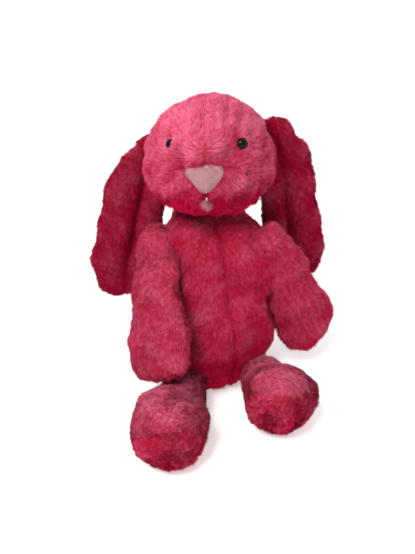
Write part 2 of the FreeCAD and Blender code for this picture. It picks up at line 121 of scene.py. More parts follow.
class Noise:
    """Smooth random field made of waves in random directions."""

    def __init__(self, wavelength, seed, waves=14):
        rng = np.random.default_rng(seed)
        self.waves = unit(rng.normal(size=(waves, 3))) * rng.uniform(0.6, 1.4, (waves, 1))
        self.waves *= 2 * math.pi / wavelength
        self.phases = rng.uniform(0, 2 * math.pi, waves)
        self.scale = math.sqrt(2.0 / waves)

    def __call__(self, points):
        return np.sin(points @ self.waves.T + self.phases).sum(1) * self.scale


class VectorNoise:
    """Three such fields side by side, as a vector."""

    def __init__(self, wavelength, seed):
        self.fields = [Noise(wavelength, seed + i) for i in range(3)]

    def __call__(self, points):
        return np.stack([field(points) for field in self.fields], 1)


def ripples(points, *waves):
    """Heights of a gently uneven surface. Each wave is its length in mm, its seed and its height in mm."""
    return sum(Noise(length * MM, seed)(points) * height * MM for length, seed, height in waves)


def get_points(mesh):
    co = np.zeros(len(mesh.vertices) * 3, np.float32)
    mesh.vertices.foreach_get("co", co)
    return co.reshape(-1, 3).astype(float)


def node_points(*names):
    """Vertices of CAD nodes, in metres."""
    return np.vstack([get_points(frame["nodes"][name].data) for name in names])


def box_middle(name):
    low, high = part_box(name)
    return (np.array(low) + np.array(high)) / 2


class Axes:
    """A local frame: origin, and unit X, Y, Z in world terms. A limb's far end is its +Z end."""

    def __init__(self, origin, x, y, z, far_end=False):
        self.far_end = far_end
        self.origin = np.array(origin, float)
        self.basis = np.stack([np.array(a, float) for a in (x, y, z)])

    def local(self, points):
        return (points - self.origin) @ self.basis.T

    def world(self, points):
        return np.asarray(points) @ self.basis + self.origin

    def turn(self, vectors):
        return np.asarray(vectors) @ self.basis


WORLD_AXES = Axes((0, 0, 0), (1, 0, 0), (0, 1, 0), (0, 0, 1))


def joint_position(name):
    for joint in frame["joints"]:
        if joint["name"] == name:
            return np.array(joint["pos_m"], float)
    raise KeyError(name)


def limb_axes(joint, nodes):
    """Local frame of a limb: Z from its joint along it, X across its width, Y through it."""
    root = joint_position(joint)
    points = node_points(*nodes)
    along = unit(points.mean(0) - root)
    flat = points - points.mean(0)
    flat = flat - np.outer(flat @ along, along)
    _, _, rows = np.linalg.svd(flat, full_matrices=False)
    across = rows[0] * (1 if rows[0][0] > 0 else -1)
    return Axes(root, across, np.cross(along, across), along, far_end=True)


# ---------------------------------------------------------------- meshes


def object_from(name, mesh):
    obj = bpy.data.objects.new(name, mesh)
    bpy.context.scene.collection.objects.link(obj)
    return obj


def set_points(mesh, points):
    mesh.vertices.foreach_set("co", points.astype(np.float32).ravel())
    mesh.update()


def get_normals(mesh):
    no = np.zeros(len(mesh.vertices) * 3, np.float32)
    mesh.vertex_normals.foreach_get("vector", no)
    return no.reshape(-1, 3).astype(float)


def evaluated_copy(obj):
    graph = bpy.context.evaluated_depsgraph_get()
    return bpy.data.meshes.new_from_object(obj.evaluated_get(graph))


def with_modifier(obj, kind, **settings):
    """Applies one modifier and leaves its result as the object's mesh."""
    modifier = obj.modifiers.new(kind.lower(), kind)
    for key, value in settings.items():
        setattr(modifier, key, value)
    mesh = evaluated_copy(obj)
    obj.modifiers.clear()
    old = obj.data
    obj.data = mesh
    bpy.data.meshes.remove(old)


def keep_outer_shell(mesh):
    """Drops closed pockets inside, keeping the connected part that spans the most."""
    count = len(mesh.vertices)
    ends = np.zeros(len(mesh.edges) * 2, np.int32)
    mesh.edges.foreach_get("vertices", ends)
    a, b = ends.reshape(-1, 2).T
    label = np.arange(count)
    while True:
        low = np.minimum(label[a], label[b])
        new = label.copy()
        np.minimum.at(new, a, low)
        np.minimum.at(new, b, low)
        new = new[new]
        if (new == label).all():
            break
        label = new
    points = get_points(mesh)
    spans = {k: np.ptp(points[label == k], axis=0).sum() for k in np.unique(label)}
    best = max(spans, key=spans.get)
    if len(spans) > 1:
        work = bmesh.new()
        work.from_mesh(mesh)
        work.verts.ensure_lookup_table()
        spare = [work.verts[i] for i in np.flatnonzero(label != best)]
        bmesh.ops.delete(work, geom=spare, context="VERTS")
        work.to_mesh(mesh)
        work.free()


def lump(axes, centre, radii, rings=12):
    """Points and faces of a rounded lump, given in a local frame, to be remeshed into a form."""
    points, faces = [], []
    for i in range(1, rings):
        tilt = math.pi * i / rings
        for j in range(2 * rings):
            turn = math.pi * j / rings
            across = math.sin(tilt)
            points.append((across * math.cos(turn), across * math.sin(turn), math.cos(tilt)))
    last = len(points)
    points += [(0, 0, 1), (0, 0, -1)]
    for j in range(2 * rings):
        k = (j + 1) % (2 * rings)
        faces.append([last, j, k])
        faces.append([last + 1, last - 2 * rings + k, last - 2 * rings + j])
        for i in range(rings - 2):
            start = i * 2 * rings
            faces.append([start + j, start + 2 * rings + j, start + 2 * rings + k, start + k])
    return axes.world(np.array(points) * radii + np.asarray(centre)), faces


def cad_form(name, nodes, voxel, lumps=()):
    """One closed form over several CAD nodes and lumps: joined, then voxel remeshed."""
    verts, faces, start = [], [], 0
    sources = []
    for node in nodes:
        mesh = frame["nodes"][node].data
        sources.append((get_points(mesh), [list(poly.vertices) for poly in mesh.polygons]))
    for points, polygons in sources + [lump(*numbers) for numbers in lumps]:
        verts.append(points)
        faces += [[start + i for i in polygon] for polygon in polygons]
        start += len(points)
    mesh = bpy.data.meshes.new(name)
    mesh.from_pydata(np.vstack(verts).tolist(), [], faces)
    obj = object_from(name, mesh)
    with_modifier(obj, "REMESH", mode="VOXEL", voxel_size=voxel)
    keep_outer_shell(obj.data)
    return obj


def relax(obj, factor=0.5, rounds=4):
    with_modifier(obj, "SMOOTH", factor=factor, iterations=rounds)


def blow_up(obj, pinned, cap):
    """Cloth simulation: the cloth swells under pressure by up to cap, held along its seams."""
    rest = get_points(obj.data)
    group = obj.vertex_groups.new(name="held")
    held = np.flatnonzero(pinned)
    group.add([int(i) for i in held], 1.0, "REPLACE")
    cloth = obj.modifiers.new("cloth", "CLOTH")
    cloth.settings.use_pressure = True
    cloth.settings.uniform_pressure_force = CLOTH_PRESSURE
    cloth.settings.effector_weights.gravity = 0.0
    cloth.settings.vertex_group_mass = "held"
    cloth.settings.quality = CLOTH_QUALITY
    cloth.point_cache.frame_start = 1
    cloth.point_cache.frame_end = CLOTH_FRAMES
    scene = bpy.context.scene
    for number in range(1, CLOTH_FRAMES + 1):
        scene.frame_set(number)
    blown = evaluated_copy(obj)
    moved = get_points(blown) - rest
    bpy.data.meshes.remove(blown)
    obj.modifiers.clear()
    scene.frame_set(1)
    reach = np.linalg.norm(moved, axis=1, keepdims=True)
    moved *= np.minimum(1.0, cap / np.maximum(reach, 1e-9))
    set_points(obj.data, rest + np.nan_to_num(moved))
    obj.vertex_groups.clear()


def push(obj, amounts):
    """Moves each point along its normal by its own amount."""
    mesh = obj.data
    set_points(mesh, get_points(mesh) + get_normals(mesh) * np.asarray(amounts)[:, None])


# ---------------------------------------------------------------- pile


def scatter(mesh, count, rng):
    """Random points spread evenly over a mesh: positions and smooth normals."""
    mesh.calc_loop_triangles()
    tris = np.zeros(len(mesh.loop_triangles) * 3, np.int32)
    mesh.loop_triangles.foreach_get("vertices", tris)
    tris = tris.reshape(-1, 3)
    points, normals = get_points(mesh), get_normals(mesh)
    a, b, c = (points[tris[:, i]] for i in range(3))
    area = np.linalg.norm(np.cross(b - a, c - a), axis=1) / 2
    pick = rng.choice(len(tris), size=count, p=area / area.sum())
    u, v = rng.random(count), rng.random(count)
    flip = u + v > 1
    u[flip], v[flip] = 1 - u[flip], 1 - v[flip]
    w = np.stack([1 - u - v, u, v], 1)[:, :, None]
    where = (points[tris[pick]] * w).sum(1)
    return where, unit((normals[tris[pick]] * w).sum(1))


def mesh_area(mesh):
    mesh.calc_loop_triangles()
    return sum(t.area for t in mesh.loop_triangles)


def clump_centres(points, cell, seed):
    """Nearest centre of a jittered grid, for gathering strands into locks."""
    base = np.floor(points / cell).astype(np.int64)
    best = np.full(len(points), np.inf)
    centre = np.zeros_like(points)
    for dx in (-1, 0, 1):
        for dy in (-1, 0, 1):
            for dz in (-1, 0, 1):
                key = base + (dx, dy, dz)
                mix = (key * CELL_STEPS).sum(1) + seed * CELL_SEED_STEP
                waves = [np.abs(np.sin(mix * k)) * CELL_SPREAD for k in CELL_WAVES]
                jitter = np.stack([np.modf(wave)[0] for wave in waves], 1)
                spot = (key + jitter) * cell
                distance = ((spot - points) ** 2).sum(1)
                near = distance < best
                best[near] = distance[near]
                centre[near] = spot[near]
    return centre


def strand_mesh(name, roots, tips, widths, normals, shades):
    """Closed three-sided spikes from roots to tips, lit like the surface they cover.

    The pile materials read each corner's UV: across is the strand's shade, up is root or tip.
    """
    count = len(roots)
    along = unit(tips - roots)
    not_quite_normal = normals + 1e-4       # so that an upright strand still has a side
    side = unit(np.cross(along, not_quite_normal))
    other = np.cross(along, side)
    corners = []
    for i in range(3):
        angle = 2 * math.pi * i / 3
        corners.append(roots + (side * math.cos(angle) + other * math.sin(angle)) * widths[:, None] / 2)
    verts = np.stack(corners + [tips], 1).reshape(-1, 3)
    pattern = np.array([[0, 1, 3], [1, 2, 3], [2, 0, 3], [2, 1, 0]])
    faces = (np.arange(count)[:, None, None] * 4 + pattern).reshape(-1, 3)
    mesh = bpy.data.meshes.new(name)
    mesh.vertices.add(len(verts))
    mesh.vertices.foreach_set("co", verts.astype(np.float32).ravel())
    mesh.loops.add(faces.size)
    mesh.loops.foreach_set("vertex_index", faces.astype(np.int32).ravel())
    mesh.polygons.add(len(faces))
    mesh.polygons.foreach_set("loop_start", np.arange(0, faces.size, 3, dtype=np.int32))
    mesh.polygons.foreach_set("use_smooth", np.ones(len(faces), bool))
    mesh.update(calc_edges=True)
    height = np.where(faces.ravel() % 4 == 3, TIP_LEVEL, ROOT_LEVEL)
    shade = np.repeat(np.clip(shades, *SHADE_LIMITS), faces.size // count)
    layer = mesh.uv_layers.new(name="OFBake")
    layer.data.foreach_set("uv", np.stack([shade, height], 1).astype(np.float32).ravel())
    radial = unit(verts.reshape(-1, 4, 3)[:, :3] - roots[:, None])
    lit = np.concatenate([unit(normals[:, None] + radial * STRAND_ROUNDNESS), unit(normals)[:, None]], 1)
    mesh.normals_split_custom_set_from_vertices(lit.reshape(-1, 3).astype(np.float32))
    return mesh


def grow_pile(name, skin, material, body, comb, length, lean=60.0, density=PILE_DENSITY,
              width=STRAND_WIDTH, clump=LOCK_SIZE, gather=0.3, shade=None, keep=None, seed=1,
              swirl=0.26, tangle=0.16, painted_top_light=0.12):
    """Covers a skin with strands.

    comb gives the lie of the pile and length its length, both from points on the skin. lean is in
    degrees from the normal. gather pulls tips to the middle of their lock, swirl and tangle turn the
    lie slowly and from strand to strand, painted_top_light pales what faces up as painted light from above,
    shade adds to the shade, and keep gives the chance that a strand is there.
    """
    rng = np.random.default_rng(seed)
    total = mesh_area(skin.data) / (MM * MM)
    count = int(total * density * (1.0))
    roots, normals = scatter(skin.data, count, rng)
    if keep is not None:
        wanted = rng.random(count) < keep(roots)
        roots, normals = roots[wanted], normals[wanted]
        count = len(roots)
    centre = clump_centres(roots, clump, seed)
    spots = roots * (1 - LOCK_SHARE) + centre * LOCK_SHARE
    lie = unit(comb(spots)) + VectorNoise(LIE_WAVES[0], seed + 10)(spots) * swirl
    lie += VectorNoise(LIE_WAVES[1], seed + 20)(spots) * swirl * LIE_RIPPLE
    lie += rng.normal(size=roots.shape) * tangle
    lie = unit(lie - normals * (lie * normals).sum(1, keepdims=True))
    spread = Noise(LEAN_WAVE, seed + 30)(spots) * LEAN_VARIES[0] + rng.normal(size=count) * LEAN_VARIES[1]
    angle = np.radians(np.clip(lean + spread, *LEAN_LIMITS))[:, None]
    reach = length(roots) * rng.uniform(*LENGTH_VARIES, count)
    tips = roots + (normals * np.cos(angle) + lie * np.sin(angle)) * reach[:, None]
    offset = centre - roots
    offset -= normals * (offset * normals).sum(1, keepdims=True)
    tips += offset * gather
    level = 0.5 + Noise(SHADE_WAVES[0], seed + 40)(roots) * SHADE_VARIES[0]
    level += Noise(SHADE_WAVES[1], seed + 50)(centre) * SHADE_VARIES[1]
    # painted light: pile that faces up is paler, as if lit from above
    level += painted_top_light * normals[:, 2]
    level += rng.normal(size=count) * SHADE_VARIES[2]
    if shade is not None:
        level += shade(roots)
    widths = width * rng.uniform(*WIDTH_VARIES, count)
    roots = roots - normals * STRAND_ROOT_DEPTH
    pieces = max(1, math.ceil(count / STRANDS_PER_PIECE))
    by_height = np.argsort(roots[:, 2] + roots[:, 0] * 0.01)
    for i, chosen in enumerate(np.array_split(by_height, pieces)):
        label = name if pieces == 1 else "%s_%d" % (name, i + 1)
        mesh = strand_mesh(label, roots[chosen], tips[chosen], widths[chosen], normals[chosen], level[chosen])
        mesh.materials.append(material)
        piece = object_from(label, mesh)
        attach(piece, body)


# ---------------------------------------------------------------- materials


def node_material(name):
    material = bpy.data.materials.new(name)
    material.use_nodes = True
    return material, material.node_tree.nodes, material.node_tree.links


def ramp(nodes, stops):
    node = nodes.new("ShaderNodeValToRGB")
    elements = node.color_ramp.elements
    stops = list(stops)
    while len(elements) < len(stops):
        elements.new(0.5)
    for element, (place, colour) in zip(elements, stops):
        element.position = place
        element.color = (*colour, 1)
    return node


PILE_ROUGHNESS = 0.95
SHADE_POWER = 1.35              # above 1, most strands lie nearer to the deep colours
MIDWAY_SHARE = 0.42             # a strand's middle is a little darker than half way from root to tip
CLOTH_STOPS = 0.3, 0.7          # where the noise reaches a cloth's dark and light colours
GRAIN_FINENESS = 6              # of a cloth's bumps, over the fineness of its colours


def pile_material(name, deep, light):
    """Colour runs from root to tip along each strand, darker at the root: partly painted shade deep in
    the pile, partly the pile's own paler tips. Each strand lies between a deep and a light shade.
    """
    material, nodes, links = node_material(name)
    shader = nodes["Principled BSDF"]
    uv = nodes.new("ShaderNodeUVMap")
    uv.uv_map = "OFBake"
    parts = nodes.new("ShaderNodeSeparateXYZ")
    links.new(uv.outputs["UV"], parts.inputs[0])
    mixed = nodes.new("ShaderNodeMix")
    mixed.data_type = "RGBA"
    weight = nodes.new("ShaderNodeMath")
    weight.operation = "POWER"
    weight.inputs[1].default_value = SHADE_POWER
    links.new(parts.outputs["X"], weight.inputs[0])
    links.new(weight.outputs[0], mixed.inputs["Factor"])
    for socket, (root, tip) in (("A", deep), ("B", light)):
        half = tuple((r + t) * MIDWAY_SHARE for r, t in zip(root, tip))
        along = ramp(nodes, [(0.0, root), (0.5, half), (1.0, tip)])
        links.new(parts.outputs["Y"], along.inputs["Fac"])
        colour_socket = [i for i in mixed.inputs if i.name == socket and i.type == "RGBA"][0]
        links.new(along.outputs["Color"], colour_socket)
    result = [o for o in mixed.outputs if o.type == "RGBA"][0]
    links.new(result, shader.inputs["Base Color"])
    shader.inputs["Roughness"].default_value = PILE_ROUGHNESS
    shader.inputs["Specular IOR Level"].default_value = 0.0
    return material


def mottled_material(name, dark, light, scale, roughness=0.9, bump_strength=0.4, **extra):
    """Cloth or plastic: noise between two colours, with a fine bump. extra sets more shader inputs."""
    material, nodes, links = node_material(name)
    shader = nodes["Principled BSDF"]
    place = nodes.new("ShaderNodeTexCoord")
    cloud = nodes.new("ShaderNodeTexNoise")
    cloud.inputs["Scale"].default_value = scale
    cloud.inputs["Detail"].default_value = 4.0
    links.new(place.outputs["Object"], cloud.inputs["Vector"])
    colours = ramp(nodes, zip(CLOTH_STOPS, (dark, light)))
    links.new(cloud.outputs["Fac"], colours.inputs["Fac"])
    links.new(colours.outputs["Color"], shader.inputs["Base Color"])
    grain = nodes.new("ShaderNodeTexNoise")
    grain.inputs["Scale"].default_value = scale * GRAIN_FINENESS
    links.new(place.outputs["Object"], grain.inputs["Vector"])
    relief = nodes.new("ShaderNodeBump")
    relief.inputs["Strength"].default_value = bump_strength
    relief.inputs["Distance"].default_value = 0.4 * MM
    links.new(grain.outputs["Fac"], relief.inputs["Height"])
    links.new(relief.outputs["Normal"], shader.inputs["Normal"])
    shader.inputs["Roughness"].default_value = roughness
    for key, value in extra.items():
        shader.inputs[key.replace("_", " ")].default_value = value
    return material


plush = pile_material(
    "plush_pink_pile",
    deep=((0.24, 0.001, 0.010), (0.64, 0.006, 0.058)),
    light=((0.56, 0.018, 0.070), (0.92, 0.27, 0.43)),
)
# A darker copy of the plush: painted shade for the ears, which hang away from the light in the head's shadow.
ear_plush_painted_shade = pile_material(
    "plush_pink_ear_pile_painted_shade",
    deep=((0.16, 0.001, 0.007), (0.44, 0.004, 0.042)),
    light=((0.50, 0.016, 0.060), (0.84, 0.24, 0.40)),
)
velour = pile_material(
    "nose_velour_pile",
    deep=((0.30, 0.10, 0.11), (0.50, 0.22, 0.24)),
    light=((0.52, 0.26, 0.28), (0.84, 0.52, 0.54)),
)
floss = pile_material(
    "mouth_floss",
    deep=((0.40, 0.06, 0.11), (0.66, 0.20, 0.27)),
    light=((0.62, 0.22, 0.29), (0.95, 0.58, 0.64)),
)
skin_cloth = mottled_material("plush_backing", (0.22, 0.003, 0.016), (0.34, 0.008, 0.03), 300)
nose_cloth = mottled_material("nose_backing", (0.40, 0.22, 0.23), (0.55, 0.34, 0.35), 500)
eye_black = mottled_material(
    "eye_polished_black", (0.002, 0.002, 0.002), (0.004, 0.003, 0.003), 200, 0.12, 0.02,
    Specular_IOR_Level=0.12, Coat_Weight=0.05, Coat_Roughness=0.03,
)
NODE_MATERIALS = {
    "stuffing": mottled_material("fibre_fill", (0.80, 0.79, 0.76), (0.92, 0.91, 0.88), 250),
    "bag_cloth": mottled_material("bag_cloth_weave", (0.56, 0.54, 0.48), (0.70, 0.68, 0.62), 900),
    "pellets": mottled_material("pellet_plastic", (0.70, 0.69, 0.66), (0.86, 0.85, 0.82), 500, 0.45),
    "washer": mottled_material("washer_plastic", (0.74, 0.74, 0.70), (0.84, 0.84, 0.80), 300, 0.5),
    "thread": mottled_material("neck_thread_twist", (0.34, 0.02, 0.07), (0.52, 0.05, 0.13), 1500),
    "mouth_thread": mottled_material("mouth_thread_twist", (0.66, 0.34, 0.38), (0.82, 0.50, 0.54), 1500),
    "eye_black": eye_black,
}
SLOT_OF = {part["node"]: part["material_slot"] for part in frame["record"]["subparts"]}
for node_name, node_object in frame["nodes"].items():
    chosen = NODE_MATERIALS.get(SLOT_OF[node_name])
    if chosen is not None:
        node_object.data.materials.clear()
        node_object.data.materials.append(chosen)


def finish_skin(obj, body, nodes, cloth=skin_cloth):
    """Gives a skin its cloth and its body, and lets it stand for its CAD nodes."""
    obj.data.materials.clear()
    obj.data.materials.append(cloth)
    for poly in obj.data.polygons:
        poly.use_smooth = True
    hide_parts(*nodes)
    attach(obj, body)
    return obj


def stuffing_form(name, node, body):
    """Fibre fill drawn well inside its cover, standing for the CAD's tight one."""
    obj = cad_form(name, [node], voxel=5 * MM)
    relax(obj)
    push(obj, np.full(len(obj.data.vertices), -FILL_DEPTH))
    with_modifier(obj, "SUBSURF", levels=1, render_levels=1)
    push(obj, ripples(get_points(obj.data), (14, 5, 0.5)))
    return finish_skin(obj, body, [node], NODE_MATERIALS["stuffing"])


def fit_to_nodes(obj, nodes, axes, margin, region):
    """Scales a form along its local axes so that its chosen region fills the CAD nodes' extents."""
    target = axes.local(node_points(*nodes))
    target = target[region(target)]
    points = axes.local(get_points(obj.data))
    chosen = points[region(points)]
    for axis in range(3):
        low, high = target[:, axis].min() + margin, target[:, axis].max() - margin
        own_low, own_high = chosen[:, axis].min(), chosen[:, axis].max()
        if axis == 2 and axes.far_end:
            points[:, 2] = np.where(points[:, 2] > 0, points[:, 2] * high / own_high, points[:, 2])
        else:
            points[:, axis] = low + (points[:, axis] - own_low) * (high - low) / (own_high - own_low)
    set_points(obj.data, axes.world(points))


def far_half(points):
    """The half of a limb away from its joint."""
    return points[:, 2] > points[:, 2].max() * 0.5


def everywhere(points):
    return np.ones(len(points), bool)


def sewn_skin(name, nodes, body, seam, shape, voxel=4 * MM, inset=CLOTH_INSET, swell=2.0 * MM,
              inside=(), groove=1.2 * MM, lumps=(), axes=WORLD_AXES, region=far_half, smoothing=3):
    """A part's cloth: the solids remeshed, drawn in, blown up between its seams and shaped.

    seam gives each point's distance from the nearest seam, and shape moves the finished points.
    inside names solids that only fill the form, and lumps join it to its neighbours. axes and region
    say along which axes, and by which part of it, the form is fitted to the CAD.
    """
    obj = cad_form(name, list(nodes) + list(inside), voxel, lumps)
    relax(obj, rounds=smoothing)
    push(obj, np.full(len(obj.data.vertices), -(inset + swell * 0.5)))
    on_seam = seam(get_points(obj.data)) < voxel * 0.6
    blow_up(obj, on_seam, cap=swell * 1.6)
    relax(obj, rounds=2)
    with_modifier(obj, "SUBSURF", levels=1, render_levels=1)
    fit_to_nodes(obj, nodes, axes, inset * FIT_SHARE, region)
    set_points(obj.data, shape(get_points(obj.data), get_normals(obj.data)))
    distance = seam(get_points(obj.data))
    push(obj, -groove * np.exp(-(distance / SEAM_WIDTH) ** 2))
    return finish_skin(obj, body, nodes)


def constant(value):
    return lambda points: np.full(len(points), value)


def steady_comb(direction):
    """Pile that lies the same way everywhere."""
    return lambda points: np.tile(direction, (len(points), 1))


# ---------------------------------------------------------------- trunk

SHOULDERS = {side: joint_position(side + "_arm_lift") for side in SIDES}
HIPS = {side: joint_position(side + "_leg_swing") for side in SIDES}
SHOULDER_LINE = (SHOULDERS["left"] + SHOULDERS["right"]) / 2
NECK = joint_position("head_nod")
TWIST_COS, TWIST_SIN = math.cos(BODY_TWIST), math.sin(BODY_TWIST)


def trunk_local(points):
    """Turned so that X = 0 is the front and back seam, with the lean taken out."""
    x, y = points[:, 0], points[:, 1] - points[:, 2] * BODY_LEAN
    across = TWIST_COS * x + TWIST_SIN * y
    through = -TWIST_SIN * x + TWIST_COS * y
    return np.stack([across, through, points[:, 2]], 1)


def trunk_seam(points):
    local = trunk_local(points)
    return np.minimum(np.abs(local[:, 0]), np.abs(local[:, 1]))


def trunk_shape(points, normals):
    """Uneven like a stuffed bag, but flat at the seat."""
    out = ripples(points, (48, 61, 1.2), (20, 62, 0.5))
    low = smooth_step(6 * MM, 0, points[:, 2])
    return points + normals * (out * (1 - low))[:, None]


def trunk_comb(points):
    """The pile runs down, and parts along the front and back seam."""
    local = trunk_local(points)
    away = np.sign(local[:, 0]) * np.exp(-(local[:, 0] / (10 * MM)) ** 2) * 0.5
    parted = np.stack([away * TWIST_COS, away * TWIST_SIN, 0 * away], 1)
    return np.array((0.0, -0.15, -1.0)) + parted


def trunk_painted_shade(points):
    """Painted shade: deeper towards the seat, which faces down, and in the groove of the parted seam."""
    seam = np.exp(-(trunk_local(points)[:, 0] / (2.2 * MM)) ** 2)
    return -0.30 - 0.14 * smooth_step(75 * MM, 20 * MM, points[:, 2]) - 0.12 * seam


def below_chest(points):
    return points[:, 2] < 90 * MM


TRUNK_NODES = ["torso_%s_%s_panel" % (face, side) for face in ("front", "back") for side in ("left", "right")]
shoulders = (SHOULDER_LINE + (-1 * MM, 1 * MM, -4 * MM), (48 * MM, 23 * MM, 25 * MM))
under_neck = (NECK + (0, 0, -8 * MM), (33 * MM, 24 * MM, 16 * MM))
behind_neck = (NECK + (0, 11 * MM, -1 * MM), (27 * MM, 19 * MM, 12 * MM))
chest = (NECK + (8 * MM, -9 * MM, -52 * MM), (52 * MM, 35 * MM, 48 * MM))
trunk = sewn_skin(
    "torso_skin", TRUNK_NODES, "torso", trunk_seam, trunk_shape, groove=2.6 * MM, region=below_chest,
    inside=("torso_stuffing", "seat_pellet_bag", "seat_pellets"), smoothing=6,
    lumps=[(WORLD_AXES, *numbers) for numbers in (shoulders, under_neck, behind_neck, chest)],
)
stuffing_form("torso_fill", "torso_stuffing", "torso")
grow_pile(
    "torso_pile", trunk, plush, "torso", trunk_comb, constant(PILE_LENGTH), seed=11,
    shade=trunk_painted_shade,
)

TAIL_NODES = ["tail_cover", "tail_stuffing"]
tail = cad_form("tail_skin", TAIL_NODES, voxel=2.5 * MM)
push(tail, np.full(len(tail.data.vertices), -2.5 * MM))
relax(tail)
finish_skin(tail, "torso", TAIL_NODES)
tail_middle = get_points(tail.data).mean(0)
tail_whorl = tail_middle + (0, 0, 4 * MM)
grow_pile(
    "tail_pile", tail, plush, "torso", lambda points: points - tail_whorl, constant(5.5 * MM),
    lean=38, seed=12,
)

# ---------------------------------------------------------------- head

yaw_cos, yaw_sin = math.cos(HEAD_YAW), math.sin(HEAD_YAW)
pitch_cos, pitch_sin = math.cos(HEAD_PITCH), math.sin(HEAD_PITCH)
HEAD = Axes(
    box_middle("head_stuffing"),
    (yaw_cos, -yaw_sin, 0),
    (pitch_cos * yaw_sin, pitch_cos * yaw_cos, -pitch_sin),
    (pitch_sin * yaw_sin, pitch_sin * yaw_cos, pitch_cos),
)


def dome_middle(node):
    """Middle of the part of an eye that stands furthest out of the head."""
    points = node_points(node)
    reach = np.linalg.norm(points - HEAD.origin, axis=1)
    return points[reach > reach.max() - DOME_DEPTH].mean(0)


DOME_DEPTH = 2.5 * MM
EYE_BARE = 2.8 * MM             # the pile starts this far from the middle of an eye
GUSSET_HALF = 17 * MM           # half the width of the strip that runs over the head
GUSSET_START = -9 * MM          # height of the strip's front end, from the middle of the head
EYES = {side: dome_middle(side + "_eye") for side in SIDES}
NOSE = box_middle("nose_patch")
EYES_LOCAL = {side: HEAD.local(EYES[side][None])[0] for side in SIDES}
NOSE_LOCAL = HEAD.local(NOSE[None])[0]


def head_seam(points):
    local = HEAD.local(points)
    x, z = local[:, 0], local[:, 2]
    gusset = np.abs(np.abs(x) - GUSSET_HALF) + np.maximum(0, GUSSET_START - z)
    chin = np.abs(x) + np.maximum(0, z - GUSSET_START)
    return np.minimum(gusset, chin)


def face_bumps():
    """The swellings (+) and hollows (-) of the face: height, start, offset from it, and reach, in mm."""
    yield 4.2, NOSE_LOCAL, (0, -2, 20), (14, 20, 10)                    # brow over the nose
    for side, out, sunk in (("left", 1, 2.4), ("right", -1, 0.6)):
        eye = EYES_LOCAL[side]
        inner_corner = eye + (-out * 5 * MM, 0, 0)
        yield -sunk, inner_corner, (0, 0, 0), (5, 12, 10)
        yield -2.6, inner_corner, (-out * 2, 0, -12), (5, 12, 8)        # beside the muzzle
        yield 2.6, eye, (out * 3, 0, 12), (12, 14, 5)                   # brow over the eye
        yield -1.6, eye, (out * 6, 0, 5), (7, 12, 2.5)                  # crease over the eye
        yield 2.0, eye, (out * 6, 0, -10), (8, 12, 6)                   # under the eye
        yield 2.6, eye, (0, 0, 0), (7, 12, 7)                           # round the eye
        yield 3.6, NOSE_LOCAL, (out * 25, 4, -8), (12, 16, 10)          # cheek
        yield -2.4, NOSE_LOCAL, (out * 19, 0, 7), (4, 12, 2.5)          # crease over the cheek
        yield -1.6, NOSE_LOCAL, (out * 13, 0, -10), (3, 12, 6)          # crease beside the mouth
    yield 6.4, EYES_LOCAL["right"], (7.5, -4, 0), (3.8, 9, 9)           # ridge that half hides this eye
    yield -2.8, NOSE_LOCAL, (0, 0, -2), (13, 10, 10)                    # seat of the nose


def head_relief(local):
    """How far the face stands out or is drawn in, at points in the head's frame."""
    out = np.zeros(len(local))
    for height, start, offset, reach in face_bumps():
        out += height * MM * bump(local, start + np.array(offset) * MM, np.array(reach) * MM)
    front = smooth_step(0, -20 * MM, local[:, 1])
    below_nose = smooth_step(NOSE_LOCAL[2] - 8 * MM, NOSE_LOCAL[2] - 13 * MM, local[:, 2]) * front
    from_crease = np.abs(local[:, 0] - NOSE_LOCAL[0])
    return out - 2.2 * MM * np.exp(-(from_crease / (3 * MM)) ** 2) * below_nose


def head_shape(points, normals):
    out = head_relief(HEAD.local(points)) + ripples(points, (34, 71, 0.8), (12, 72, 0.6))
    return points + normals * out[:, None]


HEAD_NODES = ["head_left_panel", "head_right_panel", "head_gusset"]
head = sewn_skin(
    "head_skin", HEAD_NODES, "head", head_seam, head_shape, voxel=3.6 * MM, groove=0.8 * MM,
    inside=("head_stuffing", "nose_patch"), axes=HEAD, region=everywhere,
)
stuffing_form("head_fill", "head_stuffing", "head")


def head_comb(points):
    """The pile runs outwards from the nose, sideways over it, and down at the back of the head."""
    away = unit(points - (NOSE + np.array((0, 14 * MM, 0))))
    local = HEAD.local(points)
    back = smooth_step(0, 25 * MM, local[:, 1])[:, None]
    over_nose = bump(local, NOSE_LOCAL + (0, 0, 15 * MM), (17 * MM, 30 * MM, 9 * MM))[:, None]
    outward = np.sign(local[:, :1]) * np.array(HEAD.turn((1.0, 0, 0)))
    down = HEAD.turn((0, 0.3, -1)) * (back + 0.5 * over_nose)
    return away * (1 - back) * (1 - over_nose) + down + outward * over_nose


def head_painted_light_and_shade(points):
    """Painted light and shade: a pale crown where the light falls, shade on the cheeks and chin, in
    every hollow and under the fringe over the nose, and light on every swelling.
    """
    local = HEAD.local(points)
    crown = smooth_step(8 * MM, 30 * MM, local[:, 2])
    chin = smooth_step(-20 * MM, -36 * MM, local[:, 2])
    cheek = smooth_step(10 * MM, -14 * MM, local[:, 2])
    fringe = bump(local, NOSE_LOCAL + (0, 0, 11 * MM), (13 * MM, 20 * MM, 3.5 * MM))
    # painted shade in the face's hollows and painted light on its swellings
    hollow = np.clip(head_relief(local) / MM, -3, 3) * 0.06
    return 0.08 * crown - 0.34 * chin - 0.12 * cheek - 0.30 * fringe + hollow


def near_eye(points):
    """Distance from the middle of the nearer eye."""
    gaps = [np.linalg.norm(points - eye, axis=1) for eye in EYES.values()]
    return np.minimum(*gaps)


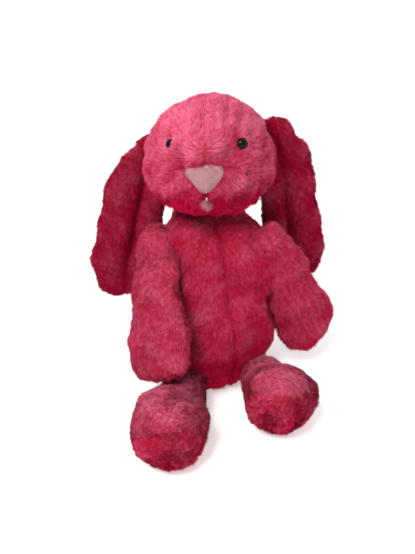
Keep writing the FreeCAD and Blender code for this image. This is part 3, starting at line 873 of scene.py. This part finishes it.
def on_nose(points):
    """Whether a point lies under the nose's rounded triangle, seen from the front."""
    local = HEAD.local(points) - NOSE_LOCAL
    down = np.clip((9 * MM - local[:, 2]) / (20 * MM), 0, 1)
    half_width = 15 * MM * np.clip(1.05 - 0.95 * down ** 1.3, 0, 1)
    inside = (np.abs(local[:, 0]) < half_width) & (np.abs(local[:, 2]) < 10 * MM)
    return inside & (local[:, 1] < 8 * MM)


def head_length(points):
    """Shorter pile round the eyes, longer under the chin."""
    local = HEAD.local(points)
    short = smooth_step(3 * MM, 10 * MM, near_eye(points))
    chin = smooth_step(-26 * MM, -40 * MM, local[:, 2])
    return 4.0 * MM * (0.65 + 0.35 * short) + 1.5 * MM * chin


def head_keep(points):
    return (near_eye(points) > EYE_BARE) & ~on_nose(points)


grow_pile(
    "head_pile", head, plush, "head", head_comb, head_length, lean=54, seed=21,
    density=PILE_DENSITY * 1.15, clump=2.6 * MM, shade=head_painted_light_and_shade, keep=head_keep,
)


def nose_shade(points):
    """Paler in the middle of the nose."""
    return 0.25 * bump(HEAD.local(points), NOSE_LOCAL, (8 * MM, 20 * MM, 7 * MM)) - 0.05


def nose_front(points):
    return HEAD.local(points)[:, 1] < NOSE_LOCAL[1] + 3 * MM


nose = cad_form("nose_skin", ["nose_patch"], voxel=1.5 * MM)
relax(nose, 0.6, 14)
with_modifier(nose, "SUBSURF", levels=1, render_levels=1)
finish_skin(nose, "head", ["nose_patch"], nose_cloth)
grow_pile(
    "nose_pile", nose, velour, "head", steady_comb(HEAD.turn((0, 0, -1))), constant(1.6 * MM),
    lean=50, density=SHORT_PILE_DENSITY, shade=nose_shade, width=0.3 * MM, clump=SHORT_PILE_LOCK, seed=22,
    gather=0.2, keep=nose_front,
)

mouth = cad_form("mouth_skin", ["mouth_stitch"], voxel=0.5 * MM)
finish_skin(mouth, "head", ["mouth_stitch"], NODE_MATERIALS["mouth_thread"])
MOUTH = get_points(mouth.data).mean(0)
MOUTH_LOCAL = HEAD.local(MOUTH[None])[0]


def fan_comb(points):
    """Loose ends that spread sideways and down from the stitch."""
    apex = MOUTH + HEAD.turn((0, 0, 4 * MM))
    return HEAD.turn((0, 0, -0.6)) + (points - apex) / (3 * MM)


def mouth_low(points):
    return HEAD.local(points)[:, 2] < MOUTH_LOCAL[2] + 1 * MM


grow_pile(
    "mouth_tuft", mouth, floss, "head", fan_comb, constant(6.2 * MM), lean=58,
    density=SHORT_PILE_DENSITY, width=0.35 * MM, clump=SHORT_PILE_LOCK, seed=23, gather=0.0, tangle=0.6,
    keep=mouth_low,
)

# ---------------------------------------------------------------- ears


def edge_seam(axes):
    """Seam round a flattened limb, where its front and back panels meet."""
    def seam(points):
        local = axes.local(points)
        return np.abs(local[:, 1]) + np.maximum(0, 8 * MM - np.abs(local[:, 0]))
    return seam


def comb_along(axes):
    return steady_comb(axes.turn((0, 0, 1)))


def forward_of(axes):
    """+1 or -1: which local Y side of a limb faces the front."""
    return 1 if axes.basis[1][1] < 0 else -1


EAR_FOLD = 5 * MM               # the fold's distance from the ear's middle line, towards the head


def ear_shape(axes, inward):
    """A lengthwise fold down the front, with the lobe by the head rolled forwards."""
    forward = forward_of(axes)

    def shape(points, normals):
        local = axes.local(points)
        share = local[:, 2] / local[:, 2].max()
        past_fold = local[:, 0] - inward * EAR_FOLD
        front = np.clip(normals @ axes.basis[1] * forward, 0, 1)
        fold = np.exp(-(past_fold / (4.5 * MM)) ** 2) * smooth_step(1.0, 0.55, share)
        out = -4.6 * MM * fold * front + ripples(points, (40, 81, 1.3))
        roll = smooth_step(0, 20 * MM, past_fold * inward) * smooth_step(1.0, 0.6, share)
        bend = axes.turn((0, forward, 0)) * (roll * 6 * MM)[:, None]
        tuck = smooth_step(16 * MM, -8 * MM, local[:, 2]) * inward * 7 * MM
        bend = bend + axes.turn((1, 0, 0)) * tuck[:, None]
        return points + normals * out[:, None] + bend
    return shape


def ear_painted_light_and_shade(axes, inward):
    """Painted shade over the whole ear, deepest in the fold, and a little painted light on the rolled lobe."""
    def shade(points):
        past_fold = axes.local(points)[:, 0] - inward * EAR_FOLD
        fold = np.exp(-(past_fold / (4 * MM)) ** 2)
        lobe = smooth_step(4 * MM, 12 * MM, past_fold * inward)
        return -0.37 - 0.12 * fold + 0.10 * lobe
    return shade


for number, side in enumerate(SIDES):
    ear_nodes = ["%s_ear_%s_panel" % (side, face) for face in ("front", "back")]
    axes = limb_axes(side + "_ear_lift", ear_nodes)
    inward = HEAD_SIDE[side]
    root = ((0, 0, 0), (15 * MM, 6.5 * MM, 13 * MM))
    neck = ((inward * 6 * MM, 0, 8 * MM), (15 * MM, 6 * MM, 20 * MM))
    blade = ((inward * 4 * MM, 0, 30 * MM), (20 * MM, 6 * MM, 30 * MM))
    ear = sewn_skin(
        side + "_ear_skin", ear_nodes, side + "_ear", edge_seam(axes), ear_shape(axes, inward), axes=axes,
        voxel=3.0 * MM, inset=0.8 * MM, swell=1.2 * MM, groove=0.3 * MM,
        lumps=[(axes, *numbers) for numbers in (root, neck, blade)],
    )
    grow_pile(
        side + "_ear_pile", ear, ear_plush_painted_shade, side + "_ear", comb_along(axes),
        constant(PILE_LENGTH), seed=31 + number, shade=ear_painted_light_and_shade(axes, inward),
    )

# ---------------------------------------------------------------- arms


def limb_shape(points, normals):
    """Uneven like loosely filled cloth."""
    return points + normals * ripples(points, (40, 91, 1.0), (16, 92, 0.4))[:, None]


for number, side in enumerate(SIDES):
    arm_nodes = ["%s_arm_%s_panel" % (side, face) for face in ("front", "back")]
    axes = limb_axes(side + "_arm_lift", [side + "_arm_stuffing"])
    inward = HEAD_SIDE[side]
    seam = edge_seam(axes)
    root = ((inward * 6 * MM, 0, 6 * MM), (17 * MM, 11 * MM, 17 * MM))
    sleeve = ((inward * 3 * MM, 0, 26 * MM), (19 * MM, 11 * MM, 30 * MM))
    arm = sewn_skin(
        side + "_arm_skin", arm_nodes, side + "_arm", seam, limb_shape, axes=axes, smoothing=9,
        inside=(side + "_arm_stuffing",), voxel=3.6 * MM, groove=0.8 * MM,
        lumps=[(axes, *numbers) for numbers in (root, sleeve)],
    )
    stuffing_form(side + "_arm_fill", side + "_arm_stuffing", side + "_arm")

    def arm_length(points, seam=seam):
        """A little longer along the seams."""
        return PILE_LENGTH + 1.0 * MM * np.exp(-(seam(points) / (3 * MM)) ** 2)

    # painted light: the pile on the arm's upper side is paler
    grow_pile(
        side + "_arm_pile", arm, plush, side + "_arm", comb_along(axes), arm_length,
        seed=41 + number, painted_top_light=0.20, shade=constant(-0.22),
    )

# ---------------------------------------------------------------- legs

SOLE_FACING = unit(np.array((0.0, -0.8, -0.6)))
SOLE_START = 3.5 * MM           # the sole's upper edge, that far past the middle of the foot

for number, side in enumerate(SIDES):
    leg_nodes = ["%s_leg_%s_panel" % (side, edge) for edge in ("inner", "outer")] + [side + "_sole_panel"]
    leg_filling = [side + "_foot_pellet_bag", side + "_foot_pellets", side + "_leg_stuffing"]
    axes = limb_axes(side + "_leg_swing", [side + "_leg_stuffing"])
    foot_middle = box_middle(side + "_foot_pellets")
    foot_reach = axes.local(foot_middle[None])[0, 2]

    def past_sole(points, foot_middle=foot_middle):
        """How far a point is over the upper edge of the curly sole."""
        return (points - foot_middle) @ SOLE_FACING - SOLE_START

    def leg_seam(points, axes=axes, past_sole=past_sole):
        """Round the sole, and down the middle of the leg above it."""
        past = past_sole(points)
        middle = np.abs(axes.local(points)[:, 0]) + np.maximum(0, past)
        return np.minimum(np.abs(past), middle)

    def sole_keep(points, past_sole=past_sole):
        return smooth_step(-2 * MM, 4 * MM, past_sole(points))

    def leg_keep(points, sole_keep=sole_keep):
        return 1 - sole_keep(points)

    def leg_length(points, past_sole=past_sole):
        """A little longer where the pile hangs over the sole."""
        return PILE_LENGTH + 1.2 * MM * smooth_step(-6 * MM, -1 * MM, past_sole(points))

    hip = (WORLD_AXES, HIPS[side] + (0, 6 * MM, 3 * MM), (20 * MM, 20 * MM, 18 * MM))
    shin = (axes, (0, 0, foot_reach * 0.4), (18.5 * MM, 18.5 * MM, 22 * MM))
    leg = sewn_skin(
        side + "_leg_skin", leg_nodes, side + "_leg", leg_seam, limb_shape, axes=axes, smoothing=12,
        inside=leg_filling, groove=1.0 * MM, lumps=[hip, shin],
    )
    stuffing_form(side + "_leg_fill", side + "_leg_stuffing", side + "_leg")
    # painted light and shade: the pile on top of leg and foot is paler, on their sides deeper
    grow_pile(
        side + "_leg_pile", leg, plush, side + "_leg", comb_along(axes), leg_length,
        seed=51 + number, painted_top_light=0.38, shade=constant(-0.12), keep=leg_keep,
    )
    # painted shade: the curly sole, which faces down and away from the light, is deeper
    grow_pile(
        side + "_sole_pile", leg, plush, side + "_leg", comb_along(WORLD_AXES),
        constant(4.2 * MM), seed=61 + number, shade=constant(-0.24), keep=sole_keep, lean=48,
        clump=3.4 * MM, gather=0.5, swirl=1.6, tangle=0.5,
    )

# ---------------------------------------------------------------- floor, light and camera

FLOOR_HALF = 3.0
FLOOR_DROP = 0.5 * MM
BACKDROP = 1.05                 # brightness of the backdrop as the camera sees it
AMBIENT = 0.76                  # and as it lights the rabbit

floor_mesh = bpy.data.meshes.new("floor")
floor_corners = [(x * FLOOR_HALF, y * FLOOR_HALF, 0) for x, y in ((-1, -1), (1, -1), (1, 1), (-1, 1))]
floor_mesh.from_pydata(floor_corners, [], [(0, 1, 2, 3)])
floor = object_from("floor", floor_mesh)
floor.location.z = -FLOOR_DROP
floor_paint = mottled_material(
    "floor_paint", (0.90, 0.90, 0.90), (0.93, 0.93, 0.93), 3, 0.9, 0.0,
    Emission_Color=(1, 1, 1, 1), Emission_Strength=0.4,
)
floor.data.materials.append(floor_paint)

world = bpy.data.worlds.new("studio")
bpy.context.scene.world = world
world.use_nodes = True
world_nodes, world_links = world.node_tree.nodes, world.node_tree.links
backdrop = world_nodes["Background"]
backdrop.inputs["Color"].default_value = (1, 1, 1, 1)
rays = world_nodes.new("ShaderNodeLightPath")
strength = world_nodes.new("ShaderNodeMath")
strength.operation = "MULTIPLY_ADD"
strength.inputs[1].default_value = BACKDROP - AMBIENT
strength.inputs[2].default_value = AMBIENT
world_links.new(rays.outputs["Is Camera Ray"], strength.inputs[0])
world_links.new(strength.outputs[0], backdrop.inputs["Strength"])


def area_light(name, place, target, size, power):
    light = bpy.data.lights.new(name, "AREA")
    light.shape = "DISK"
    light.size = size
    light.energy = power
    lamp = object_from(name, light)
    lamp.location = place
    lamp.rotation_euler = (Vector(target) - Vector(place)).to_track_quat("-Z", "Y").to_euler()


area_light("key", place=(-0.30, -0.60, 1.00), target=(0, 0, 0.10), size=0.5, power=13.2)

ELEVATION = math.radians(29)
DISTANCE = 0.600
AIM = Vector((-0.002, -0.020, 0.113))
ROLL = math.radians(-2.5)
SENSOR_HEIGHT = 36.0
FOCAL_SHARE = 715.0 / 554.0     # focal length over the height of the picture
from_aim = Vector((0, -math.cos(ELEVATION), math.sin(ELEVATION)))
camera_data = bpy.data.cameras.new("camera")
camera_data.sensor_fit = "VERTICAL"
camera_data.sensor_height = SENSOR_HEIGHT
camera_data.lens = FOCAL_SHARE * SENSOR_HEIGHT
camera = object_from("camera", camera_data)
aimed = (-from_aim).to_track_quat("-Z", "Y").to_matrix() @ Matrix.Rotation(ROLL, 3, "Z")
camera.matrix_world = Matrix.Translation(AIM + from_aim * DISTANCE) @ aimed.to_4x4()
bpy.context.scene.camera = camera
bpy.context.scene.view_settings.view_transform = "Standard"
